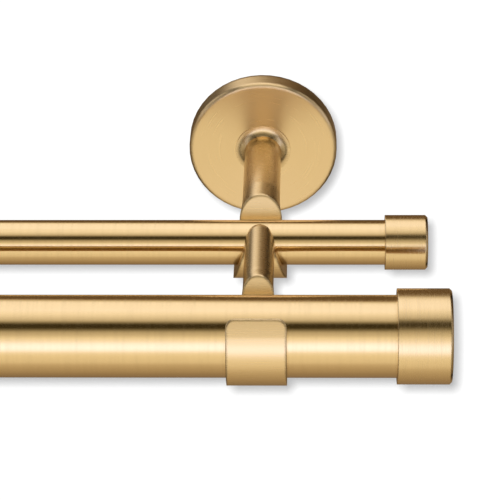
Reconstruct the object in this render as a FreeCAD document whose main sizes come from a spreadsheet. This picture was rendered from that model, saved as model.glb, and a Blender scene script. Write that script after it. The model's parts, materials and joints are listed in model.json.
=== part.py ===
import FreeCAD, Part
import os
from collections import namedtuple
import Sketcher

# Double curtain pole: two round brass-coloured poles, one behind the other, on two wall brackets.
# The origin is on the wall, midway between the brackets, at the height of their rear arms.
# The room is towards -Y, +X runs along the poles and +Z is up.

document = FreeCAD.newDocument("DoubleCurtainPole")
sheet = document.addObject("Spreadsheet::Sheet", "Sizes")

driving_sizes = {
    # Poles
    "front_pole_diameter": 28.0,
    "front_pole_wall": 1.2,
    "front_pole_length": 707.0,
    "back_pole_diameter": 16.0,
    "back_pole_wall": 1.0,
    "back_pole_length": 695.0,
    # Places of the poles and brackets
    "bracket_spacing": 580.0,
    "back_projection": 72.0,
    "front_projection": 133.5,
    "pole_drop": 2.0,
    # End caps
    "front_cap_diameter": 32.4,
    "front_cap_length": 18.4,
    "back_cap_diameter": 19.5,
    "back_cap_length": 15.1,
    "cap_end_wall": 2.0,
    "cap_clearance": 0.1,
    "cap_edge_bevel": 0.8,
    "cap_screw_diameter": 3.0,
    "cap_screw_setback": 6.0,
    "cap_screw_recess": 0.15,
    # Flange and wall plate
    "flange_diameter": 55.5,
    "flange_thickness": 7.5,
    "flange_face_wall": 2.5,
    "flange_rim_wall": 3.75,
    "flange_edge_bevel": 0.8,
    "flange_screw_diameter": 3.0,
    "flange_screw_length": 3.5,
    "flange_screw_setback": 1.9,
    "plate_thickness": 2.5,
    "plate_clearance": 0.25,
    "plate_window": 18.0,
    "wall_screw_diameter": 5.0,
    "wall_screw_spacing": 31.0,
    # Bracket arm
    "rear_arm_diameter": 13.6,
    "front_arm_diameter": 10.6,
    "foot_rim": 0.4,
    "foot_flare": 3.45,
    "foot_curve": 4.5,
    "seat_clearance": 0.2,
    "seat_grip": 0.65,
    "back_saddle_width": 19.1,
    "back_saddle_wall": 4.5,
    "back_scoop_angle": 64.0,
    "back_scoop_setback": 14.9,
    "back_scoop_floor": 0.0,
    "back_way_in_angle": 47.0,
    "neck_run_in": 4.0,
    "back_neck_length": 26.0,
    "back_flank_angle": 22.9,
    "back_flank_tilt": 16.0,
    "back_flank_start": 21.5,
    "back_lip_rise": 3.0,
    "back_lip_flank_angle": 16.6,
    "back_lip_flank_tilt": 5.0,
    "back_lip_flank_start": 11.4,
    "front_cradle_width": 20.3,
    "front_cradle_wall": 2.4,
    "front_scoop_angle": 61.5,
    "front_scoop_setback": 20.2,
    "front_scoop_floor": 2.5,
    "front_way_in_angle": 51.5,
    "front_neck_length": 26.5,
    "front_flank_angle": 22.9,
    "front_flank_start": 13.2,
    "front_lip_angle": 52.0,
    "front_lip_lean": 31.0,
    "front_lip_corner": 3.0,
    # Fasteners
    "pole_screw_diameter": 4.0,
    "pole_screw_length": 4.0,
    "pole_screw_angle": 52.0,
    "pole_screw_hole": 12.0,
    "bolt_diameter": 6.0,
    "bolt_length": 12.0,
    "bolt_head_diameter": 10.0,
    "bolt_head_height": 3.3,
    "bolt_clearance": 0.25,
    "washer_diameter": 11.0,
    "washer_thickness": 1.0,
    "thread_clearance": 0.05,
    "bolt_bore_depth": 10.0,
    "socket_share": 0.55,
    "socket_depth": 1.2,
    "bolt_socket_depth": 2.4,
}
for row, (alias, value) in enumerate(driving_sizes.items(), start=1):
    sheet.set(f"A{row}", alias.replace("_", " "))
    sheet.set(f"B{row}", str(value))
    sheet.setAlias(f"B{row}", alias)
document.recompute()

# Sizes that follow from the driving ones, as expressions
pole_height = "(-Sizes.pole_drop)"
back_place = {"y": "-Sizes.back_projection", "z": pole_height}
front_place = {"y": "-Sizes.front_projection", "z": pole_height}
back_seat = "(Sizes.back_pole_diameter / 2 + Sizes.seat_clearance)"
front_seat = "(Sizes.front_pole_diameter / 2 + Sizes.seat_clearance)"
back_outside = f"({back_seat} + Sizes.back_saddle_wall)"
front_outside = f"({front_seat} + Sizes.front_cradle_wall)"
rear_radius = "(Sizes.rear_arm_diameter / 2)"
front_radius = "(Sizes.front_arm_diameter / 2)"
front_arm_height = f"({rear_radius} - {front_radius})"
plate_radius = "(Sizes.flange_diameter / 2 - Sizes.flange_rim_wall - Sizes.plate_clearance)"
flange_hollow = "(Sizes.flange_thickness - Sizes.flange_face_wall)"
back_half = "(Sizes.back_saddle_width / 2)"
front_half = "(Sizes.front_cradle_width / 2)"
bracket_sides = {"left": "-Sizes.bracket_spacing / 2", "right": "Sizes.bracket_spacing / 2"}

# The oval sections of the two necks, from the arm to under the pole: how far the middle lies outside the
# pole's seat in mm, its angle round the pole (180 is towards the wall, 270 straight down), how far the
# section leans, how much of the way its width has grown from the arm to the saddle, and its height as a
# share of the arm's
Section = namedtuple("Section", "outside angle lean spread height")
back_neck_sections = [
    Section(12.0, 174.5, 3, 0.1, 0.99),
    Section(7.4, 175, 12, 0.3, 0.96),
    Section(2.5, 190, 35, 0.6, 0.88),
    Section(0.3, 228, 42, 0.8, 0.5),
]
front_neck_sections = [
    Section(7.4, 174.5, 17, 0.07, 1.0),
    Section(3.1, 188, 44, 0.2, 0.85),
    Section(1.0, 213.5, 50, 0.45, 0.82),
    Section(1.2, 242, 32, 0.72, 0.58),
    Section(1.2, 270, 0, 0.85, 0.2),
]

X_AXIS = FreeCAD.Vector(1, 0, 0)
ALONG_POLE = FreeCAD.Rotation(FreeCAD.Vector(0, 1, 0), 90)
INTO_ROOM = FreeCAD.Rotation(X_AXIS, 90)
TO_WALL = FreeCAD.Rotation(X_AXIS, -90)
DOWNWARDS = FreeCAD.Rotation(X_AXIS, 180)
UNTURNED = FreeCAD.Rotation()
NEAR = 1e-3
# How far a cutting block reaches past what it cuts, in mm
SPARE = 1

sub_parts = []


def bind(item, expressions):
    """Tie properties of an item to the sheet."""
    for path, expression in expressions.items():
        item.setExpression(path, expression)


def settle(item, place, turn=UNTURNED):
    """Turn an item and tie its place to the sheet."""
    item.Placement = FreeCAD.Placement(FreeCAD.Vector(), turn)
    bind(item, {f"Placement.Base.{axis}": expression for axis, expression in place.items()})


def finished(item, label):
    """Name a sub-part and list it for writing."""
    item.Label = label
    sub_parts.append(item)


def solid(kind, name, sizes, place, turn=UNTURNED):
    """A primitive with its sizes and place tied to the sheet."""
    item = document.addObject(kind, name)
    bind(item, sizes)
    settle(item, place, turn)
    return item


def cylinder(name, radius, height, place, turn):
    return solid("Part::Cylinder", name, {"Radius": radius, "Height": height}, place, turn)


def pole_cylinder(name, radius, width, place):
    """A cylinder on a pole's axis, centred on the bracket."""
    centred = dict(place, x=f"-{width} / 2")
    return cylinder(name, radius, width, centred, ALONG_POLE)


def turned_block(name, across, along, through, place, turn):
    """A block with its edges given from its own origin, turned about the pole's direction.
    Each of across, along and through is a pair of edges; across and through have a second pair for the
    far end."""
    sizes = {
        "Xmin": across[0], "Xmax": across[1], "X2min": across[2], "X2max": across[3],
        "Ymin": along[0], "Ymax": along[1],
        "Zmin": through[0], "Zmax": through[1], "Z2min": through[2], "Z2max": through[3],
    }
    item = document.addObject("Part::Wedge", name)
    bind(item, sizes)
    settle(item, place, INTO_ROOM)
    item.setExpression("Placement.Rotation.Angle", f"({turn}) * 1 deg")
    return item


def fuse(name, items):
    item = document.addObject("Part::MultiFuse", name)
    item.Shapes = items
    return item


def cut(name, base, tools):
    item = document.addObject("Part::Cut", name)
    item.Base = base
    item.Tool = tools[0] if len(tools) == 1 else fuse(name + "_tools", tools)
    return item


def group(label, items):
    """Identical pieces as one sub-part of separate solids."""
    item = document.addObject("Part::Compound", label)
    item.Links = items
    finished(item, label)


def new_body(name):
    return document.addObject("PartDesign::Body", name)


def circles(body, name, role, rounds):
    """A sketch of circles on an origin plane, each a diameter and a centre; None is on the axis."""
    sketch = body.newObject("Sketcher::SketchObject", name)
    plane = next(feature for feature in body.Origin.OriginFeatures if feature.Role == role)
    sketch.AttachmentSupport = (plane, "")
    sketch.MapMode = "FlatFace"
    for diameter, across, up in rounds:
        circle = sketch.addGeometry(Part.Circle(FreeCAD.Vector(), FreeCAD.Vector(0, 0, 1), 1.0))
        for kind, axis, place in (("DistanceX", -2, across), ("DistanceY", -1, up)):
            if place is None:
                sketch.addConstraint(Sketcher.Constraint("PointOnObject", circle, 3, axis))
            else:
                row = sketch.addConstraint(Sketcher.Constraint(kind, -1, 1, circle, 3, 1.0))
                sketch.setExpression(f"Constraints[{row}]", place)
        row = sketch.addConstraint(Sketcher.Constraint("Diameter", circle, 2.0))
        sketch.setExpression(f"Constraints[{row}]", diameter)
    return sketch


def pad(body, sketch, length, symmetric=False):
    feature = body.newObject("PartDesign::Pad", sketch.Name + "_pad")
    feature.Profile = sketch
    feature.SideType = "Symmetric" if symmetric else "One side"
    feature.setExpression("Length", length)
    document.recompute()
    return feature


def pocket(body, sketch, length, along_normal):
    """A pocket from the sketch plane, along its normal or against it, which has to cut something."""
    before = body.Shape.Volume
    feature = body.newObject("PartDesign::Pocket", sketch.Name + "_pocket")
    feature.Profile = sketch
    feature.Reversed = along_normal
    feature.setExpression("Length", length)
    document.recompute()
    if body.Shape.Volume > before - NEAR:
        raise ValueError(f"{feature.Name} cuts nothing")
    return feature


def edges_where(shape, test):
    """The names of the edges that pass a test."""
    return [f"Edge{index}" for index, edge in enumerate(shape.Edges, start=1) if test(edge)]


def dress(body, kind, name, measure, value, test):
    """Round or bevel the edges of the body so far that pass a test."""
    base = body.Tip
    names = edges_where(base.Shape, test)
    feature = body.newObject(kind, name)
    feature.Base = (base, names)
    feature.setExpression(measure, value)
    document.recompute()


def fillet(body, name, radius, test):
    dress(body, "PartDesign::Fillet", name, "Radius", radius, test)


def bevel(body, name, width, test):
    dress(body, "PartDesign::Chamfer", name, "Size", width, test)


def rim_at(axis, place, radius):
    """A test for a round edge of one radius about the body's axis, at a place along it."""
    def test(edge):
        return (isinstance(edge.Curve, Part.Circle)
                and abs(edge.Curve.Radius - radius) < NEAR
                and abs(getattr(edge.Curve.Center, axis) - place) < NEAR)
    return test


def size(alias):
    return getattr(sheet, alias)


def pole(which, place):
    """A round tube, open at both ends."""
    body = new_body(f"{which}_pole")
    outside = f"Sizes.{which}_pole_diameter"
    inside = f"{outside} - 2 * Sizes.{which}_pole_wall"
    rounds = [(outside, None, None), (inside, None, None)]
    pad(body, circles(body, f"{which}_pole_section", "YZ_Plane", rounds),
        f"Sizes.{which}_pole_length", symmetric=True)
    settle(body, place)
    finished(body, f"{which}_pole")


def end_cap(which, side, place):
    """A cup pushed over the end of a pole until the pole meets its end wall."""
    name = f"{which}_cap_{side}"
    body = new_body(name)
    outside = f"Sizes.{which}_cap_diameter"
    length = f"Sizes.{which}_cap_length"
    bore = f"Sizes.{which}_pole_diameter + 2 * Sizes.cap_clearance"
    screw = "Sizes.cap_screw_diameter + 2 * Sizes.thread_clearance"
    pad(body, circles(body, f"{name}_outside", "YZ_Plane", [(outside, None, None)]), length)
    pocket(body, circles(body, f"{name}_bore", "YZ_Plane", [(bore, None, None)]),
           f"{length} - Sizes.cap_end_wall", along_normal=True)
    pocket(body, circles(body, f"{name}_screw_hole", "XY_Plane", [(screw, "Sizes.cap_screw_setback", None)]),
           f"{outside} / 2", along_normal=False)
    end_rim = rim_at("x", size(f"{which}_cap_length"), size(f"{which}_cap_diameter") / 2)
    bevel(body, f"{name}_end", "Sizes.cap_edge_bevel", end_rim)
    reach = f"Sizes.{which}_pole_length / 2 + Sizes.cap_end_wall - {length}"
    mirrored = FreeCAD.Rotation(FreeCAD.Vector(0, 0, 1), 180)
    if side == "right":
        settle(body, dict(place, x=reach))
    else:
        settle(body, dict(place, x=f"-({reach})"), mirrored)
    return body


def flange(side, middle):
    """A round cup against the wall, open at the back, with a flat face and a small round at its rim."""
    name = f"flange_{side}"
    body = new_body(name)
    outside = "Sizes.flange_diameter"
    hollow = f"{outside} - 2 * Sizes.flange_rim_wall"
    bolt = "Sizes.bolt_diameter + 2 * Sizes.bolt_clearance"
    screw = "Sizes.flange_screw_diameter + 2 * Sizes.thread_clearance"
    pad(body, circles(body, f"{name}_outside", "XZ_Plane", [(outside, None, None)]), "Sizes.flange_thickness")
    pocket(body, circles(body, f"{name}_hollow", "XZ_Plane", [(hollow, None, None)]),
           flange_hollow, along_normal=True)
    pocket(body, circles(body, f"{name}_bolt_hole", "XZ_Plane", [(bolt, None, None)]),
           "Sizes.flange_thickness", along_normal=True)
    screw_round = (screw, None, "-Sizes.flange_screw_setback")
    pocket(body, circles(body, f"{name}_screw_hole", "XY_Plane", [screw_round]),
           f"{outside} / 2", along_normal=False)
    front_rim = rim_at("y", -size("flange_thickness"), size("flange_diameter") / 2)
    bevel(body, f"{name}_rim", "Sizes.flange_edge_bevel", front_rim)
    settle(body, {"x": middle})
    return body


def wall_plate(side, middle):
    """A steel disc inside the flange, with a window for the bolt's head and two holes for wall screws."""
    name = f"wall_plate_{side}"
    body = new_body(name)
    screw_up = "Sizes.wall_screw_spacing / 2"
    rounds = [
        (f"2 * {plate_radius}", None, None),
        ("Sizes.plate_window", None, None),
        ("Sizes.wall_screw_diameter", None, screw_up),
        ("Sizes.wall_screw_diameter", None, f"-{screw_up}"),
    ]
    pad(body, circles(body, f"{name}_outline", "XZ_Plane", rounds), "Sizes.plate_thickness")
    settle(body, {"x": middle})
    return body


def socket(name, diameter, depth, place, turn):
    """The hexagon for a key, sunk into the end of a screw."""
    sizes = {"Height": depth, "Circumradius": f"Sizes.socket_share * {diameter} / 2"}
    hexagon = solid("Part::Prism", name, sizes, place, turn)
    hexagon.Polygon = 6
    return hexagon


def arm_bolt(side, middle):
    """A low-headed socket screw from behind, through the flange into the foot of the arm."""
    name = f"arm_bolt_{side}"
    seat = f"-({flange_hollow} - Sizes.washer_thickness)"
    shank = cylinder(f"{name}_shank", "Sizes.bolt_diameter / 2", "Sizes.bolt_length",
                     {"x": middle, "y": seat}, INTO_ROOM)
    head = cylinder(f"{name}_head", "Sizes.bolt_head_diameter / 2", "Sizes.bolt_head_height",
                    {"x": middle, "y": seat}, TO_WALL)
    key = socket(f"{name}_socket", "Sizes.bolt_head_diameter", "Sizes.bolt_socket_depth",
                 {"x": middle, "y": f"{seat} + Sizes.bolt_head_height"}, INTO_ROOM)
    return cut(name, fuse(f"{name}_blank", [shank, head]), [key])


def lock_washer(side, middle):
    name = f"lock_washer_{side}"
    place = {"x": middle, "y": f"-({flange_hollow} - Sizes.washer_thickness)"}
    thickness = "Sizes.washer_thickness"
    bore_radius = "Sizes.bolt_diameter / 2 + Sizes.bolt_clearance"
    disc = cylinder(f"{name}_disc", "Sizes.washer_diameter / 2", thickness, place, INTO_ROOM)
    hole = cylinder(f"{name}_hole", bore_radius, thickness, place, INTO_ROOM)
    return cut(name, disc, [hole])


def grub_screw(name, diameter, length, place, turn, outer_end, back_turn):
    """A headless screw with its tip at a place, and a socket in its outer end."""
    rod = cylinder(f"{name}_rod", f"{diameter} / 2", length, place, turn)
    key = socket(f"{name}_socket", diameter, "Sizes.socket_depth", outer_end, back_turn)
    return cut(name, rod, [key])


def flange_grub_screw(side, middle):
    tip = {"x": middle, "y": "-Sizes.flange_screw_setback", "z": f"-{plate_radius}"}
    end = dict(tip, z=f"-({plate_radius} + Sizes.flange_screw_length)")
    return grub_screw(f"flange_grub_screw_{side}", "Sizes.flange_screw_diameter", "Sizes.flange_screw_length",
                      tip, DOWNWARDS, end, UNTURNED)


def cap_grub_screw(which, side, place):
    """A short screw through the underside of a cap, its tip on the pole."""
    length = f"((Sizes.{which}_cap_diameter - Sizes.{which}_pole_diameter) / 2 - Sizes.cap_screw_recess)"
    mouth = f"Sizes.{which}_pole_length / 2 + Sizes.cap_end_wall - Sizes.{which}_cap_length"
    sign = "" if side == "right" else "-"
    underside = f"{pole_height} - Sizes.{which}_pole_diameter / 2"
    tip = dict(place, x=f"{sign}({mouth} + Sizes.cap_screw_setback)", z=underside)
    end = dict(tip, z=f"{underside} - {length}")
    return grub_screw(f"{which}_cap_grub_screw_{side}", "Sizes.cap_screw_diameter", length,
                      tip, DOWNWARDS, end, UNTURNED)


def below_behind(place, reach):
    """A place at a distance from a pole's axis, down and back at the angle of the pole's screw."""
    angle = "(Sizes.pole_screw_angle * 1 deg)"
    return {"y": f"{place['y']} + ({reach}) * cos({angle})", "z": f"{place['z']} - ({reach}) * sin({angle})"}


def aim_back(item, turn):
    """Turn an item to the pole screw's direction, about the pole's direction."""
    item.Placement = FreeCAD.Placement(item.Placement.Base, FreeCAD.Rotation(-X_AXIS, 90))
    item.setExpression("Placement.Rotation.Angle", f"({turn}) * 1 deg")


def pole_grub_screw(which, side, middle, place):
    """A screw through the saddle from below and behind, its tip on the pole."""
    name = f"{which}_pole_grub_screw_{side}"
    surface = f"Sizes.{which}_pole_diameter / 2"
    tip = dict(below_behind(place, surface), x=middle)
    end = dict(below_behind(place, f"{surface} + Sizes.pole_screw_length"), x=middle)
    rod = cylinder(f"{name}_rod", "Sizes.pole_screw_diameter / 2", "Sizes.pole_screw_length", tip, TO_WALL)
    key = socket(f"{name}_socket", "Sizes.pole_screw_diameter", "Sizes.socket_depth", end, TO_WALL)
    aim_back(rod, "90 + Sizes.pole_screw_angle")
    aim_back(key, "270 + Sizes.pole_screw_angle")
    return cut(name, rod, [key])


def oval(name, half_width, half_height, place, lean):
    """One section of a neck: an oval across the arm, its top leaning towards the wall."""
    sizes = {"MajorRadius": half_width, "MinorRadius": half_height}
    return solid("Part::Ellipse", name, sizes, place, FreeCAD.Rotation(X_AXIS, 90 + lean))


def around(place, reach, angle):
    """A place at a distance from a pole's axis; the angle is 0 towards the room and 90 straight up."""
    return {
        "y": f"{place['y']} - ({reach}) * cos({angle} deg)",
        "z": f"{place['z']} + ({reach}) * sin({angle} deg)",
    }


def neck(name, arm_end, arm_height, arm_radius, place, seat_radius, half_width, sections):
    """A smooth swell from the end of a round arm to the underside of a pole, through oval sections."""
    ovals = []
    for number, start in enumerate((arm_end, f"{arm_end} + Sizes.neck_run_in"), start=1):
        on_arm = {"y": f"-({start})", "z": arm_height}
        ovals.append(oval(f"{name}_arm_{number}", arm_radius, arm_radius, on_arm, 0))
    for number, section in enumerate(sections, start=1):
        middle = around(place, f"{seat_radius} + {section.outside}", section.angle)
        width = f"{arm_radius} + {section.spread} * ({half_width} - {arm_radius})"
        height = f"{section.height} * {arm_radius}"
        ovals.append(oval(f"{name}_section_{number}", width, height, middle, section.lean))
    loft = document.addObject("Part::Loft", name)
    loft.Sections = ovals
    loft.Solid = True
    return loft


def even(low, high):
    """A pair of edges that are the same at the far end of a block."""
    return (low, high, low, high)


def flank_blocks(name, half, inset, along, through, place, turn):
    """Two blocks that draw a band in on both sides, from its half width to an inset one."""
    past = f"{half} + {SPARE}"
    return [
        turned_block(f"{name}_right", (half, past, inset, past), along, through, place, turn),
        turned_block(f"{name}_left", (f"-({past})", f"-{half}", f"-({past})", f"-{inset}"),
                     along, through, place, turn),
    ]


def across_all(half):
    """The edges of a block that reaches past a band on both sides."""
    past = f"{half} + {SPARE}"
    return even(f"-({past})", past)


def back_saddle(name):
    """The band under the back pole, drawn in towards the arms behind and in front, with a lip in front."""
    reach = f"({back_outside} + {SPARE})"
    rear_start = f"(-{back_outside} * sin(Sizes.back_flank_start * 1 deg))"
    rear_inset = f"({back_half} - ({reach} - {rear_start}) * tan(Sizes.back_flank_angle * 1 deg))"
    lip_start = "(-Sizes.back_lip_flank_start)"
    lip_inset = f"({back_half} - ({reach} - {lip_start}) * tan(Sizes.back_lip_flank_angle * 1 deg))"
    band = pole_cylinder(f"{name}_band", back_outside, "Sizes.back_saddle_width", back_place)
    cutters = flank_blocks(f"{name}_lip_flank", back_half, lip_inset, (lip_start, reach),
                           even(f"-{reach}", reach), back_place, "90 - Sizes.back_lip_flank_tilt")
    cutters += flank_blocks(f"{name}_rear_flank", back_half, rear_inset, (rear_start, reach),
                            even(f"-{reach}", "0"), back_place, "90 + Sizes.back_flank_tilt")
    cutters.append(turned_block(f"{name}_lip_top", across_all(back_half), ("Sizes.back_lip_rise", reach),
                                even("0", reach), back_place, "90 - Sizes.back_flank_tilt"))
    return cut(name, band, cutters)


def front_cradle(name):
    """The band round the front pole, from the arm behind it to a lip in front of it, straight at its top."""
    reach = f"({front_outside} + {SPARE})"
    past_lip = f"(2 * {front_outside})"
    start = "(-Sizes.front_flank_start)"
    inset = f"({front_half} - ({reach} - {start}) * tan(Sizes.front_flank_angle * 1 deg))"
    band = pole_cylinder(f"{name}_band", front_outside, "Sizes.front_cradle_width", front_place)
    lip = turned_block(f"{name}_lip", even(f"-{front_half}", front_half), ("0", front_outside),
                       even("0", front_outside), front_place, "90 - Sizes.front_lip_lean")
    cutters = flank_blocks(f"{name}_flank", front_half, inset, (start, reach), even(f"-{reach}", "0"),
                           front_place, "90")
    cutters.append(turned_block(f"{name}_lip_top", across_all(front_half), ("0", past_lip),
                                even(f"-{past_lip}", "0"), front_place, "180 - Sizes.front_lip_angle"))
    return cut(name, fuse(f"{name}_blank", [band, lip]), cutters)


def seat(name, which, radius, half, place):
    """What a pole and its way in take out of the casting: a round seat, a slanting way in above it, and a
    scoop behind it, steeper than the way in, with a flat floor."""
    round_seat = pole_cylinder(f"{name}_round", radius, f"(2 * {half} + {SPARE})", place)
    height = f"(2 * {radius} + Sizes.rear_arm_diameter)"
    slant = f"{radius} - Sizes.seat_grip"
    way_in = turned_block(f"{name}_way_in", across_all(half), ("0", height), even(f"-{radius}", slant),
                          place, f"Sizes.{which}_way_in_angle")
    setback = f"Sizes.{which}_scoop_setback"
    floor = f"Sizes.{which}_scoop_floor"
    slope = f"tan(Sizes.{which}_scoop_angle * 1 deg)"
    back_edges = (f"-({setback} + {floor} / {slope})", "0", f"-({setback} + {height} / {slope})", "0")
    scoop = turned_block(f"{name}_scoop", across_all(half), (floor, height), back_edges, place, "90")
    return [round_seat, way_in, scoop]


def pole_screw_hole(name, which, place):
    """The threaded hole for the screw that locks a pole, from its axis out, below and behind."""
    depth = f"Sizes.{which}_pole_diameter / 2 + Sizes.pole_screw_hole"
    hole = cylinder(name, "Sizes.pole_screw_diameter / 2 + Sizes.thread_clearance", depth, place, TO_WALL)
    aim_back(hole, "90 + Sizes.pole_screw_angle")
    return hole


def lip_corner(edge):
    """A test for the two upper corners of the cradle's lip, which point away from the pole's axis."""
    axis = FreeCAD.Vector(edge.CenterOfMass.x, -size("front_projection"), -size("pole_drop"))
    lip_turn = FreeCAD.Rotation(-X_AXIS, size("front_lip_angle"))
    outwards = lip_turn.multVec(FreeCAD.Vector(0, -1, 0))
    return all((vertex.Point - axis).cross(outwards).Length < NEAR for vertex in edge.Vertexes)


def bracket_arm(side, middle):
    """One casting: foot, rear arm, back saddle, front arm and front cradle."""
    name = f"bracket_arm_{side}"
    foot_start = "-Sizes.flange_thickness"
    foot_radius = f"({rear_radius} + Sizes.foot_flare)"
    foot_disc = cylinder(f"{name}_foot_disc", foot_radius, "Sizes.foot_rim + Sizes.foot_flare",
                         {"y": foot_start}, INTO_ROOM)
    foot_hollow = solid("Part::Torus", f"{name}_foot_hollow",
                        {"Radius1": foot_radius, "Radius2": "Sizes.foot_curve"},
                        {"y": f"{foot_start} - Sizes.foot_rim - Sizes.foot_curve"}, INTO_ROOM)
    foot = cut(f"{name}_foot", foot_disc, [foot_hollow])

    rear_end = "(Sizes.back_projection - Sizes.back_neck_length - Sizes.neck_run_in)"
    rear_arm = cylinder(f"{name}_rear_arm", rear_radius, f"{rear_end} - Sizes.flange_thickness",
                        {"y": foot_start}, INTO_ROOM)
    back_neck = neck(f"{name}_back_neck", rear_end, "0", rear_radius,
                     back_place, back_seat, back_half, back_neck_sections)
    saddle = back_saddle(f"{name}_saddle")

    front_end = "(Sizes.front_projection - Sizes.front_neck_length - Sizes.neck_run_in)"
    front_arm = cylinder(f"{name}_front_arm", front_radius, f"{front_end} - Sizes.back_projection",
                         {"y": "-Sizes.back_projection", "z": front_arm_height}, INTO_ROOM)
    front_neck = neck(f"{name}_front_neck", front_end, front_arm_height, front_radius,
                      front_place, front_seat, front_half, front_neck_sections)
    cradle = front_cradle(f"{name}_cradle")
    blank = fuse(f"{name}_blank", [foot, rear_arm, back_neck, saddle, front_arm, front_neck, cradle])

    bolt_hole = cylinder(f"{name}_bolt_hole", "Sizes.bolt_diameter / 2 + Sizes.thread_clearance",
                         "Sizes.bolt_bore_depth", {"y": foot_start}, INTO_ROOM)
    tools = [bolt_hole]
    tools += seat(f"{name}_back_seat", "back", back_seat, back_half, back_place)
    tools += seat(f"{name}_front_seat", "front", front_seat, front_half, front_place)
    tools.append(pole_screw_hole(f"{name}_back_screw_hole", "back", back_place))
    tools.append(pole_screw_hole(f"{name}_front_screw_hole", "front", front_place))
    casting = cut(f"{name}_casting", blank, tools)
    document.recompute()

    body = new_body(name)
    body.BaseFeature = casting
    document.recompute()
    fillet(body, f"{name}_lip_corners", "Sizes.front_lip_corner", lip_corner)
    settle(body, {"x": middle})
    return body


for which, place in (("front", front_place), ("back", back_place)):
    pole(which, place)
    group(f"{which}_end_caps", [end_cap(which, side, place) for side in bracket_sides])
    group(f"{which}_cap_grub_screws", [cap_grub_screw(which, side, place) for side in bracket_sides])
    group(f"{which}_pole_grub_screws",
          [pole_grub_screw(which, side, middle, place) for side, middle in bracket_sides.items()])
bracket_pieces = {
    "bracket_arms": bracket_arm,
    "wall_flanges": flange,
    "wall_plates": wall_plate,
    "arm_bolts": arm_bolt,
    "lock_washers": lock_washer,
    "flange_grub_screws": flange_grub_screw,
}
for label, make in bracket_pieces.items():
    group(label, [make(side, middle) for side, middle in bracket_sides.items()])
document.recompute()

for item in document.Objects:
    if "Invalid" in item.State or "Error" in item.State:
        raise ValueError(f"{item.Name} did not build: {item.State}")
for item in sub_parts:
    if item.Shape.isNull() or not item.Shape.isValid():
        raise ValueError(f"{item.Label} has no valid shape")

os.makedirs("parts", exist_ok=True)
for item in sub_parts:
    item.Shape.exportStep(os.path.join("parts", f"{item.Label}.step"))
    box = item.Shape.BoundBox
    lengths = f"{box.XLength:.1f} x {box.YLength:.1f} x {box.ZLength:.1f} mm"
    print(f"{item.Label}: {len(item.Shape.Solids)} solids, {lengths}")
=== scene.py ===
import json
import math

import bpy
from mathutils import Matrix, Vector

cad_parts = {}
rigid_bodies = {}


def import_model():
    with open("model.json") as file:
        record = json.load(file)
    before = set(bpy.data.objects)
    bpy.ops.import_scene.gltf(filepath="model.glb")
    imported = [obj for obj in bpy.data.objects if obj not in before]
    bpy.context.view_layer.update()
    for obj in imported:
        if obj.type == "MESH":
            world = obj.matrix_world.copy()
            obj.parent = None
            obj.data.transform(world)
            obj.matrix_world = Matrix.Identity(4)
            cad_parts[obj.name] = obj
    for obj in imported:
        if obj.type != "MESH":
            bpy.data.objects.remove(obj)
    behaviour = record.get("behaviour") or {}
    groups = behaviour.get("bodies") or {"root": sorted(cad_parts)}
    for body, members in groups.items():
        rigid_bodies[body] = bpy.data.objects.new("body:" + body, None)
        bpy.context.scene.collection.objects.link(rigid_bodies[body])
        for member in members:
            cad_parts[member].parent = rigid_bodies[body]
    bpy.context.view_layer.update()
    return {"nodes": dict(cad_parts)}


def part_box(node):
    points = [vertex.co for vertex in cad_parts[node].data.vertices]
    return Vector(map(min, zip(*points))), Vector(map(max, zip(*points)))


for item in list(bpy.data.objects):
    bpy.data.objects.remove(item)

scene = bpy.context.scene
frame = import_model()
pieces = frame["nodes"]


# Wall plates
# Round steel discs, stamped from sheet and zinc plated, screwed to the wall with two screws each.
# The flange slips over the plate and hides it, so it shows only from behind.

ZINC_COLOUR = (0.60, 0.61, 0.63, 1.0)
CRYSTALS_PER_METRE = 900.0
CRYSTAL_DIMPLE = 0.0002
CRYSTAL_STRENGTH = 0.08
CLOUDS_PER_METRE = 160.0
CLOUD_DETAIL = 4.0
PLATED_SMOOTHEST = 0.28
PLATED_ROUGHEST = 0.45
NOISE_LOW = 0.3
NOISE_HIGH = 0.7


def bare_material(name):
    """A material with an empty tree and its output."""
    material = bpy.data.materials.new(name)
    material.use_nodes = True
    tree = material.node_tree
    tree.nodes.clear()
    output = tree.nodes.new("ShaderNodeOutputMaterial")
    return material, tree, output


def metal_material(name):
    """A material with one shader, joined to its output."""
    material, tree, output = bare_material(name)
    shader = tree.nodes.new("ShaderNodeBsdfPrincipled")
    tree.links.new(shader.outputs["BSDF"], output.inputs["Surface"])
    return material, tree, shader


def add_node(tree, kind, **settings):
    """A new node of one kind with its own settings, which are not its inputs."""
    node = tree.nodes.new(kind)
    for name, value in settings.items():
        setattr(node, name, value)
    return node


def fill(tree, socket, value):
    """Link an input to another node's output, or set it to a plain value."""
    if isinstance(value, bpy.types.NodeSocket):
        tree.links.new(value, socket)
    else:
        socket.default_value = value


def feed(tree, node, **inputs):
    """Fill inputs of a node by name, with spaces written as underscores."""
    for name, value in inputs.items():
        fill(tree, node.inputs[name.replace("_", " ")], value)


def arithmetic(tree, operation, first, second=0.0):
    """The result of one sum on links or numbers."""
    node = add_node(tree, "ShaderNodeMath", operation=operation)
    fill(tree, node.inputs[0], first)
    fill(tree, node.inputs[1], second)
    return node.outputs["Value"]


def spread(tree, value, start, end, low, high, kind="LINEAR"):
    """A value that goes from low to high while another goes from start to end."""
    node = add_node(tree, "ShaderNodeMapRange", interpolation_type=kind)
    feed(tree, node, Value=value, From_Min=start, From_Max=end, To_Min=low, To_Max=high)
    return node.outputs["Result"]


def object_place(tree):
    """The place on the piece in the shared frame, and its three parts."""
    place = add_node(tree, "ShaderNodeTexCoord").outputs["Object"]
    parts = add_node(tree, "ShaderNodeSeparateXYZ")
    feed(tree, parts, Vector=place)
    return place, parts.outputs["X"], parts.outputs["Y"], parts.outputs["Z"]


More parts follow.
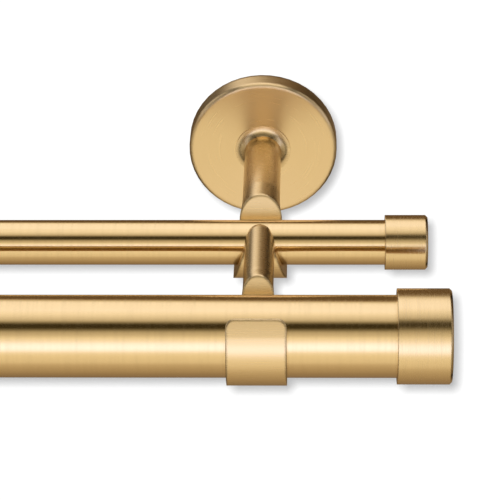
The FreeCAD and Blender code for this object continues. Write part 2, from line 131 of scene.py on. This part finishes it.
def plated_steel(name, colour):
    """Bright plating: small cloudy crystals that change the gloss and dimple the surface a little."""
    material, tree, shader = metal_material(name)
    place, _, _, _ = object_place(tree)
    crystals = add_node(tree, "ShaderNodeTexVoronoi")
    feed(tree, crystals, Vector=place, Scale=CRYSTALS_PER_METRE)
    clouds = add_node(tree, "ShaderNodeTexNoise")
    feed(tree, clouds, Vector=place, Scale=CLOUDS_PER_METRE, Detail=CLOUD_DETAIL)
    dimples = add_node(tree, "ShaderNodeBump")
    feed(tree, dimples, Strength=CRYSTAL_STRENGTH, Distance=CRYSTAL_DIMPLE,
         Height=crystals.outputs["Distance"])
    gloss = spread(tree, clouds.outputs["Fac"], NOISE_LOW, NOISE_HIGH, PLATED_SMOOTHEST, PLATED_ROUGHEST)
    feed(tree, shader, Base_Color=colour, Metallic=1.0, Roughness=gloss, Normal=dimples.outputs["Normal"])
    return material


def finish_piece(name, material):
    """Give a piece of the frame its material, which stands for its finish."""
    piece = pieces[name]
    piece.data.materials.clear()
    piece.data.materials.append(material)


finish_piece("wall_plates", plated_steel("plate_zinc", ZINC_COLOUR))


# Arm bolts and lock washers
# Low-headed socket screws and flat washers of zinc-plated steel.
# They sit inside the flange and pull the foot of each arm tight against its face.

SCREW_COLOUR = (0.66, 0.67, 0.68, 1.0)

screw_zinc = plated_steel("screw_zinc", SCREW_COLOUR)
finish_piece("arm_bolts", screw_zinc)
finish_piece("lock_washers", screw_zinc)


# Wall flanges
# Turned brass-finished cups with a flat face, brushed while they turn, so the fine lines run in rings.
# Each covers a wall plate and is locked to it by a grub screw in its rim.

BRASS_COLOUR = (0.82, 0.595, 0.285, 1.0)
FINE_LINES_PER_METRE = 2600.0
LINE_LENGTHS_PER_METRE = 60.0
LINE_DETAIL = 3.0
LINE_ROUGHNESS = 0.65
SCRATCH_DEPTH = 0.0001
SCRATCH_SHARE = 0.5
QUARTER_TURN = 0.25
EDGE_SAMPLES = 8
FLANGE_ROUGHEST = 0.32
FLANGE_SMOOTHEST = 0.27
FLANGE_STRETCH = 0.5
FLANGE_EDGE_ROUND = 0.0018

plate_low, plate_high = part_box("wall_plates")
plate_radius = (plate_high.z - plate_low.z) / 2
bracket_from_middle = plate_high.x - plate_radius


def brushed_brass(name, line_pattern, roughest, smoothest, stretch, edge_round):
    """Satin brass with fine lines. The function line_pattern gives their pattern and direction."""
    material, tree, shader = metal_material(name)
    pattern, direction = line_pattern(tree)
    lines = add_node(tree, "ShaderNodeTexNoise")
    feed(tree, lines, Vector=pattern, Scale=1.0, Detail=LINE_DETAIL, Roughness=LINE_ROUGHNESS)
    edges = add_node(tree, "ShaderNodeBevel", name="soft_edges", samples=EDGE_SAMPLES)
    feed(tree, edges, Radius=edge_round)
    scratch = add_node(tree, "ShaderNodeBump", name="scratches")
    feed(tree, scratch, Strength=SCRATCH_SHARE * (roughest - smoothest), Distance=SCRATCH_DEPTH,
         Height=lines.outputs["Fac"], Normal=edges.outputs["Normal"])
    gloss = spread(tree, lines.outputs["Fac"], NOISE_LOW, NOISE_HIGH, smoothest, roughest)
    feed(tree, shader, Base_Color=BRASS_COLOUR, Metallic=1.0, Roughness=gloss, Anisotropic=stretch,
         Anisotropic_Rotation=QUARTER_TURN, Normal=scratch.outputs["Normal"])
    if direction is not None:
        feed(tree, shader, Tangent=direction)
    return material


def ring_lines(tree):
    """Lines in rings about the axis of the nearer bracket, on the face and round the rim."""
    _, x, y, z = object_place(tree)
    across = arithmetic(tree, "SUBTRACT", arithmetic(tree, "ABSOLUTE", x), bracket_from_middle)
    across_square = arithmetic(tree, "MULTIPLY", across, across)
    up_square = arithmetic(tree, "MULTIPLY", z, z)
    radius = arithmetic(tree, "SQRT", arithmetic(tree, "ADD", across_square, up_square))
    step = arithmetic(tree, "MULTIPLY", arithmetic(tree, "ADD", radius, y), FINE_LINES_PER_METRE)
    pattern = add_node(tree, "ShaderNodeCombineXYZ")
    feed(tree, pattern, X=step,
         Y=arithmetic(tree, "MULTIPLY", x, LINE_LENGTHS_PER_METRE),
         Z=arithmetic(tree, "MULTIPLY", z, LINE_LENGTHS_PER_METRE))
    direction = add_node(tree, "ShaderNodeCombineXYZ")
    feed(tree, direction, X=arithmetic(tree, "MULTIPLY", z, -1.0),
         Z=arithmetic(tree, "MULTIPLY", across, arithmetic(tree, "SIGN", x)))
    return pattern.outputs["Vector"], direction.outputs["Vector"]


flange_brass = brushed_brass("flange_brass", ring_lines, FLANGE_ROUGHEST, FLANGE_SMOOTHEST,
                             FLANGE_STRETCH, FLANGE_EDGE_ROUND)
finish_piece("wall_flanges", flange_brass)


# Bracket arms
# One casting each: foot, rear arm, open saddle, front arm and cradle, plated in brass and satin finished.
# The slanting faces behind the poles are linished across, so their lines run along the poles.
# The edges are softened by polishing, and the lip in front falls away a little towards its top.

ARM_ROUGHEST = 0.285
ARM_SMOOTHEST = 0.27
ARM_STRETCH = 0.0
ARM_EDGE_ROUND = 0.0014
FOOT_EDGE_ROUND = 0.0001
# The foot and the start of the arm are measured from the flange's face, and the crease from the pole's axis.
FOOT_HEIGHT = 0.0045
ARM_START_HEIGHT = 0.0085
LIP_CREASE_RISE = 0.0086
LIP_FALL = 4.1

flange_low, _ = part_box("wall_flanges")
foot_front_y = flange_low.y - FOOT_HEIGHT
arm_start_y = flange_low.y - ARM_START_HEIGHT
front_pole_low, front_pole_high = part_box("front_pole")
front_pole_axis = (front_pole_low + front_pole_high) / 2
lip_crease_z = front_pole_axis.z + LIP_CREASE_RISE


def cross_lines(tree):
    """Short lines along the poles."""
    place, _, _, _ = object_place(tree)
    stretched = add_node(tree, "ShaderNodeMapping")
    feed(tree, stretched, Vector=place,
         Scale=(LINE_LENGTHS_PER_METRE, FINE_LINES_PER_METRE, FINE_LINES_PER_METRE))
    return stretched.outputs["Vector"], None


arm_brass = brushed_brass("arm_brass", cross_lines, ARM_ROUGHEST, ARM_SMOOTHEST, ARM_STRETCH, ARM_EDGE_ROUND)
arm_tree = arm_brass.node_tree
arm_edges = arm_tree.nodes["soft_edges"]
arm_scratches = arm_tree.nodes["scratches"]
_, _, arm_y, arm_z = object_place(arm_tree)
arm_round = spread(arm_tree, arm_y, arm_start_y, foot_front_y, ARM_EDGE_ROUND, FOOT_EDGE_ROUND)
feed(arm_tree, arm_edges, Radius=arm_round)
over_crease = arithmetic(arm_tree, "SUBTRACT", arm_z, lip_crease_z)
over_crease = arithmetic(arm_tree, "MAXIMUM", over_crease, 0.0)
lip_fall = arithmetic(arm_tree, "MULTIPLY", arithmetic(arm_tree, "POWER", over_crease, 2.0), -LIP_FALL)
before_pole = arithmetic(arm_tree, "LESS_THAN", arm_y, front_pole_axis.y)
lip_crown = add_node(arm_tree, "ShaderNodeBump")
feed(arm_tree, lip_crown, Strength=1.0, Distance=1.0, Normal=arm_edges.outputs["Normal"],
     Height=arithmetic(arm_tree, "MULTIPLY", lip_fall, before_pole))
feed(arm_tree, arm_scratches, Normal=lip_crown.outputs["Normal"])
finish_piece("bracket_arms", arm_brass)


# Poles
# Two round tubes with a brass finish, brushed while they turn, so the fine lines run round them.
# They lie in the open saddle and the cradle of each bracket.

POLE_LINES_PER_METRE = 1100.0
POLE_ROUGHEST = 0.24
POLE_SMOOTHEST = 0.12
POLE_STRETCH = 0.9
POLE_EDGE_ROUND = 0.0002


def round_lines(tree):
    """Lines round the poles."""
    place, _, _, _ = object_place(tree)
    stretched = add_node(tree, "ShaderNodeMapping")
    feed(tree, stretched, Vector=place,
         Scale=(POLE_LINES_PER_METRE, LINE_LENGTHS_PER_METRE, LINE_LENGTHS_PER_METRE))
    direction = add_node(tree, "ShaderNodeTangent", direction_type="RADIAL", axis="X")
    return stretched.outputs["Vector"], direction.outputs["Tangent"]


pole_brass = brushed_brass("pole_brass", round_lines, POLE_ROUGHEST, POLE_SMOOTHEST, POLE_STRETCH,
                           POLE_EDGE_ROUND)
finish_piece("front_pole", pole_brass)
finish_piece("back_pole", pole_brass)


# End caps
# Turned brass cups with a solid end, pushed over the ends of the poles and locked by a small screw below.
# They are brushed round like the poles, a little coarser.

CAP_ROUGHEST = 0.30
CAP_SMOOTHEST = 0.21
CAP_STRETCH = 0.70
CAP_EDGE_ROUND = 0.0006

cap_brass = brushed_brass("cap_brass", round_lines, CAP_ROUGHEST, CAP_SMOOTHEST, CAP_STRETCH, CAP_EDGE_ROUND)
finish_piece("front_end_caps", cap_brass)
finish_piece("back_end_caps", cap_brass)


# Grub screws
# Small headless steel screws with a hexagon socket, plated to match the brass.
# They lock the flanges on their plates, the poles in their saddles and the caps on the poles.

GRUB_COLOUR = (0.55, 0.40, 0.20, 1.0)

grub_plating = plated_steel("grub_plating", GRUB_COLOUR)
for held in ("flange", "back_pole", "front_pole", "back_cap", "front_cap"):
    finish_piece(f"{held}_grub_screws", grub_plating)


# Camera
# It looks down at the right-hand bracket from the room, with the poles across the picture.
# It stands nearly in line with the bracket and is swung a little to the left.

CAMERA_PLACE = Vector((0.3095, -0.8886, 0.4878))
CAMERA_ELEVATION = math.radians(31.12)
CAMERA_SWING = math.radians(1.389)
CAMERA_SENSOR = 36.0
CAMERA_LENS = 192.4
CAMERA_REACH = 100.0

camera_data = bpy.data.cameras.new("camera")
camera_data.sensor_width = CAMERA_SENSOR
camera_data.lens = CAMERA_LENS
camera_data.clip_end = CAMERA_REACH
camera = bpy.data.objects.new("camera", camera_data)
camera.location = CAMERA_PLACE
tilt_down = Matrix.Rotation(math.pi / 2 - CAMERA_ELEVATION, 3, "X")
swing_left = Matrix.Rotation(CAMERA_SWING, 3, "Y")
camera.rotation_euler = (tilt_down @ swing_left).to_euler()
scene.collection.objects.link(camera)
scene.camera = camera
looking = Vector((0.0, math.cos(CAMERA_ELEVATION), -math.sin(CAMERA_ELEVATION)))
picture_up = Vector((0.0, math.sin(CAMERA_ELEVATION), math.cos(CAMERA_ELEVATION)))
picture_right = Vector((1.0, 0.0, 0.0))


# Pale ground sheet
# A plain white sheet far behind and below, which keeps a soft shadow of the object.
# It is clear from behind, so it hides nothing in views from the wall.

SHEET_DISTANCE = 5.0
SHEET_HALF_SIZE = 0.84
SHEET_COLOUR = (0.95, 0.95, 0.95, 1.0)


def stage_mesh(name, corners, faces, material):
    """A mesh that belongs to the studio and not to the object."""
    mesh = bpy.data.meshes.new(name)
    mesh.from_pydata(corners, [], faces)
    mesh.materials.append(material)
    thing = bpy.data.objects.new(name, mesh)
    scene.collection.objects.link(thing)
    return thing


sheet_middle = CAMERA_PLACE + (looking - picture_right * math.tan(CAMERA_SWING)) * SHEET_DISTANCE
sheet_corners = [
    sheet_middle + (picture_right * across + picture_up * up) * SHEET_HALF_SIZE
    for across, up in ((-1, -1), (1, -1), (1, 1), (-1, 1))
]
sheet_white, sheet_tree, sheet_output = bare_material("sheet_white")
sheet_matt = add_node(sheet_tree, "ShaderNodeBsdfPrincipled")
feed(sheet_tree, sheet_matt, Base_Color=SHEET_COLOUR, Roughness=1.0, Specular_IOR_Level=0.0)
sheet_clear = add_node(sheet_tree, "ShaderNodeBsdfTransparent")
sheet_side = add_node(sheet_tree, "ShaderNodeNewGeometry")
sheet_mix = add_node(sheet_tree, "ShaderNodeMixShader")
fill(sheet_tree, sheet_mix.inputs[0], sheet_side.outputs["Backfacing"])
fill(sheet_tree, sheet_mix.inputs[1], sheet_matt.outputs["BSDF"])
fill(sheet_tree, sheet_mix.inputs[2], sheet_clear.outputs["BSDF"])
feed(sheet_tree, sheet_output, Surface=sheet_mix.outputs["Shader"])
stage_mesh("ground_sheet", sheet_corners, [(0, 1, 2, 3)], sheet_white)


# Shadow lamp
# A small lamp just above and left of the camera, for a soft shadow below and right of each piece.
# Metal doesn't mirror it, so it shows only on the sheet.

LAMP_POWER = 568.0
LAMP_RADIUS = 0.00275
LAMP_OFFSET = 0.00245

lamp_data = bpy.data.lights.new("shadow_lamp", "POINT")
lamp_data.energy = LAMP_POWER
lamp_data.shadow_soft_size = LAMP_RADIUS
lamp = bpy.data.objects.new("shadow_lamp", lamp_data)
lamp.location = CAMERA_PLACE + (picture_up - picture_right) * LAMP_OFFSET
lamp.visible_glossy = False
scene.collection.objects.link(lamp)


# Light tent
# Long soft boxes round the poles: one overhead, one at the height of the eye, and a dim floor below.
# Each stop is an angle round the poles from the room (90 is straight up) and how bright the tent is there.
# Its ends are dark to both sides of the right-hand bracket, and lighter again farther out.

TENT_RADIUS = 3.0
TENT_CENTRE_Y = -0.11
TENT_SEGMENTS = 64
TENT_RINGS = 32
TENT_STOPS = (
    (-180, 0.15), (-149, 0.20), (-125, 0.25), (-96, 0.37), (-67, 0.55), (-54, 0.67), (-44, 0.86),
    (-24, 1.00), (-15, 1.12), (-6, 1.45), (2, 1.52), (10, 1.45), (19, 1.20), (27, 1.05),
    (96, 1.15), (106, 1.25), (136, 1.20), (142, 0.85), (147, 0.45), (151, 0.15), (180, 0.15),
)
# The tint of a level of 1, and the powers by which red, green and blue follow a dim or a bright level.
TENT_TINT = (1.02, 0.97, 0.89)
DIM_POWERS = (1.0, 1.2, 1.5)
BRIGHT_POWERS = (1.0, 1.3, 2.5)
# The pattern behind the poles leans by this angle from the middle to the side of the tent.
TENT_LEAN = 65.0
# Distances to the side and to the back are shares of the tent's radius.
END_START = 0.32
END_FULL = 0.55
FAR_END_START = 0.60
FAR_END_FULL = 0.67
FAR_END_SHARE = 0.5
BACK_START = 0.3
BACK_FULL = 0.7
END_DARKNESS_IN_FRONT = 0.93
END_DARKNESS_BEHIND = 0.97
HALF_TURN = 180.0
FULL_TURN = 360.0
ROOM_SHARE = HALF_TURN / FULL_TURN


def angle_ramp(tree, turn, angles, colours):
    """Colours by the angle round the poles, given as a share of a turn from straight back."""
    ramp = add_node(tree, "ShaderNodeValToRGB")
    elements = ramp.color_ramp.elements
    elements.remove(elements[1])
    for number, (angle, colour) in enumerate(zip(angles, colours)):
        share = (angle + HALF_TURN) / FULL_TURN
        stop = elements[0] if number == 0 else elements.new(share)
        stop.position = share
        stop.color = list(colour) + [1.0]
    feed(tree, ramp, Fac=turn)
    return ramp.outputs["Color"]


def turn_round(tree, back, up, room_share):
    """The share of a turn round the poles, from two distances off their axis. The room is at room_share."""
    angle = arithmetic(tree, "ARCTAN2", up, arithmetic(tree, "MULTIPLY", back, -1.0))
    return arithmetic(tree, "ADD", arithmetic(tree, "DIVIDE", angle, math.tau), room_share)


def only_in_reflections(thing):
    """Hide a thing of the studio from everything but reflections."""
    thing.visible_camera = False
    thing.visible_diffuse = False
    thing.visible_transmission = False
    thing.visible_shadow = False


def tent_colour(level):
    """The colour of the tent where it has this level."""
    powers = BRIGHT_POWERS if level > 1.0 else DIM_POWERS
    return [tint * level ** power for tint, power in zip(TENT_TINT, powers)]


tent_angles = [angle for angle, _ in TENT_STOPS]
tent_colours = [tent_colour(level) for _, level in TENT_STOPS]
tent_brightest = max(max(colour) for colour in tent_colours)
tent_shares = [[part / tent_brightest for part in colour] for colour in tent_colours]
tent_material, tent_tree, tent_output = bare_material("tent_light")
tent_material.cycles.emission_sampling = "NONE"
_, tent_x, tent_y, tent_z = object_place(tent_tree)
tent_side = arithmetic(tent_tree, "DIVIDE", tent_x, TENT_RADIUS)
tent_aside = arithmetic(tent_tree, "ABSOLUTE", tent_side)
tent_behind = arithmetic(tent_tree, "DIVIDE", arithmetic(tent_tree, "MAXIMUM", tent_y, 0.0), TENT_RADIUS)
tent_lean = arithmetic(tent_tree, "MULTIPLY", tent_side, tent_behind)
tent_lean = arithmetic(tent_tree, "MULTIPLY", tent_lean, TENT_LEAN / FULL_TURN)
tent_turn = turn_round(tent_tree, tent_y, tent_z, arithmetic(tent_tree, "ADD", tent_lean, ROOM_SHARE))
end_loss = spread(tent_tree, tent_aside, END_START, END_FULL, 0.0, 1.0, "SMOOTHSTEP")
far_share = spread(tent_tree, tent_aside, FAR_END_START, FAR_END_FULL, 1.0, FAR_END_SHARE, "SMOOTHSTEP")
end_darkness = spread(tent_tree, tent_behind, BACK_START, BACK_FULL,
                      END_DARKNESS_IN_FRONT, END_DARKNESS_BEHIND)
end_loss = arithmetic(tent_tree, "MULTIPLY", end_loss, end_darkness)
end_loss = arithmetic(tent_tree, "MULTIPLY", end_loss, far_share)
tent_strength = arithmetic(tent_tree, "SUBTRACT", 1.0, end_loss)
tent_strength = arithmetic(tent_tree, "MULTIPLY", tent_strength, tent_brightest)
tent_glow = add_node(tent_tree, "ShaderNodeEmission")
feed(tent_tree, tent_glow, Color=angle_ramp(tent_tree, tent_turn, tent_angles, tent_shares),
     Strength=tent_strength)
feed(tent_tree, tent_output, Surface=tent_glow.outputs["Emission"])
bpy.ops.mesh.primitive_uv_sphere_add(radius=TENT_RADIUS, segments=TENT_SEGMENTS, ring_count=TENT_RINGS,
                                     location=(bracket_from_middle, TENT_CENTRE_Y, 0.0))
tent = bpy.context.object
tent.name = "light_tent"
tent.data.materials.append(tent_material)
only_in_reflections(tent)


# Dark strip
# A long strip of dark gauze with soft edges, close above the poles, which parts the two soft boxes.
# Each stop is an angle round the front pole and how much light the gauze lets through there.

STRIP_RADIUS = 0.42
STRIP_HALF_LENGTH = 1.2
STRIP_STOPS = (
    (27, 1.00), (35, 0.71), (43, 0.54), (50, 0.20), (55, 0.05), (65, 0.04), (70, 0.23), (77, 0.62),
    (86, 0.82), (96, 1.00),
)
STRIP_POWERS = (1.0, 1.07, 1.3)

strip_angles = [angle for angle, _ in STRIP_STOPS]
strip_colours = [[level ** power for power in STRIP_POWERS] for _, level in STRIP_STOPS]
strip_material, strip_tree, strip_output = bare_material("strip_gauze")
_, _, strip_y, strip_z = object_place(strip_tree)
strip_back = arithmetic(strip_tree, "SUBTRACT", strip_y, front_pole_axis.y)
strip_up = arithmetic(strip_tree, "SUBTRACT", strip_z, front_pole_axis.z)
strip_turn = turn_round(strip_tree, strip_back, strip_up, ROOM_SHARE)
strip_clear = add_node(strip_tree, "ShaderNodeBsdfTransparent")
feed(strip_tree, strip_clear, Color=angle_ramp(strip_tree, strip_turn, strip_angles, strip_colours))
feed(strip_tree, strip_output, Surface=strip_clear.outputs["BSDF"])
strip_corners = []
strip_faces = []
for degrees in range(strip_angles[0], strip_angles[-1] + 1):
    angle = math.radians(degrees)
    first = len(strip_corners)
    corner_y = front_pole_axis.y - STRIP_RADIUS * math.cos(angle)
    corner_z = front_pole_axis.z + STRIP_RADIUS * math.sin(angle)
    strip_corners += [(side * STRIP_HALF_LENGTH, corner_y, corner_z) for side in (-1, 1)]
    if first > 0:
        strip_faces.append((first - 2, first - 1, first + 1, first))
only_in_reflections(stage_mesh("dark_strip", strip_corners, strip_faces, strip_material))


# Flag between the poles
# A narrow strip of thin grey gauze, which keeps the glare of one pole off the other.
# It is set off from the front pole's axis, and stops short of the brackets and of the pole's ends.

FLAG_BEHIND_AXIS = 0.0307
FLAG_TOP_OVER_AXIS = 0.0068
FLAG_BOTTOM_OVER_AXIS = 0.0012
FLAG_FROM_BRACKET = 0.014
FLAG_FROM_POLE_END = 0.0015
FLAG_CLEARNESS = (0.56, 0.52, 0.42, 1.0)

flag_y = front_pole_axis.y + FLAG_BEHIND_AXIS
flag_top = front_pole_axis.z + FLAG_TOP_OVER_AXIS
flag_bottom = front_pole_axis.z + FLAG_BOTTOM_OVER_AXIS
flag_inner = bracket_from_middle - FLAG_FROM_BRACKET
flag_outer = bracket_from_middle + FLAG_FROM_BRACKET
flag_end = front_pole_high.x - FLAG_FROM_POLE_END
flag_material, flag_tree, flag_output = bare_material("flag_gauze")
flag_clear = add_node(flag_tree, "ShaderNodeBsdfTransparent")
feed(flag_tree, flag_clear, Color=FLAG_CLEARNESS)
feed(flag_tree, flag_output, Surface=flag_clear.outputs["BSDF"])
flag_corners = []
flag_faces = []
for left, right in ((-flag_end, -flag_outer), (-flag_inner, flag_inner), (flag_outer, flag_end)):
    first = len(flag_corners)
    flag_corners += [
        (left, flag_y, flag_bottom), (right, flag_y, flag_bottom),
        (right, flag_y, flag_top), (left, flag_y, flag_top),
    ]
    flag_faces.append((first, first + 1, first + 2, first + 3))
only_in_reflections(stage_mesh("pole_flag", flag_corners, flag_faces, flag_material))


# World
# White where the camera, metal or glass looks past everything, and a plain level of light elsewhere.

AMBIENT_LEVEL = 0.55
WHITE_LEVEL = 1.0
WHITE = (1.0, 1.0, 1.0, 1.0)

world = bpy.data.worlds.new("world")
scene.world = world
world.use_nodes = True
world_tree = world.node_tree
world_tree.nodes.clear()
ray = add_node(world_tree, "ShaderNodeLightPath")
seen = arithmetic(world_tree, "MAXIMUM", ray.outputs["Is Camera Ray"], ray.outputs["Is Glossy Ray"])
seen = arithmetic(world_tree, "MAXIMUM", seen, ray.outputs["Is Transmission Ray"])
background = add_node(world_tree, "ShaderNodeBackground")
feed(world_tree, background, Color=WHITE,
     Strength=spread(world_tree, seen, 0.0, 1.0, AMBIENT_LEVEL, WHITE_LEVEL))
world_output = add_node(world_tree, "ShaderNodeOutputWorld")
feed(world_tree, world_output, Surface=background.outputs["Background"])
scene.view_settings.view_transform = "Standard"
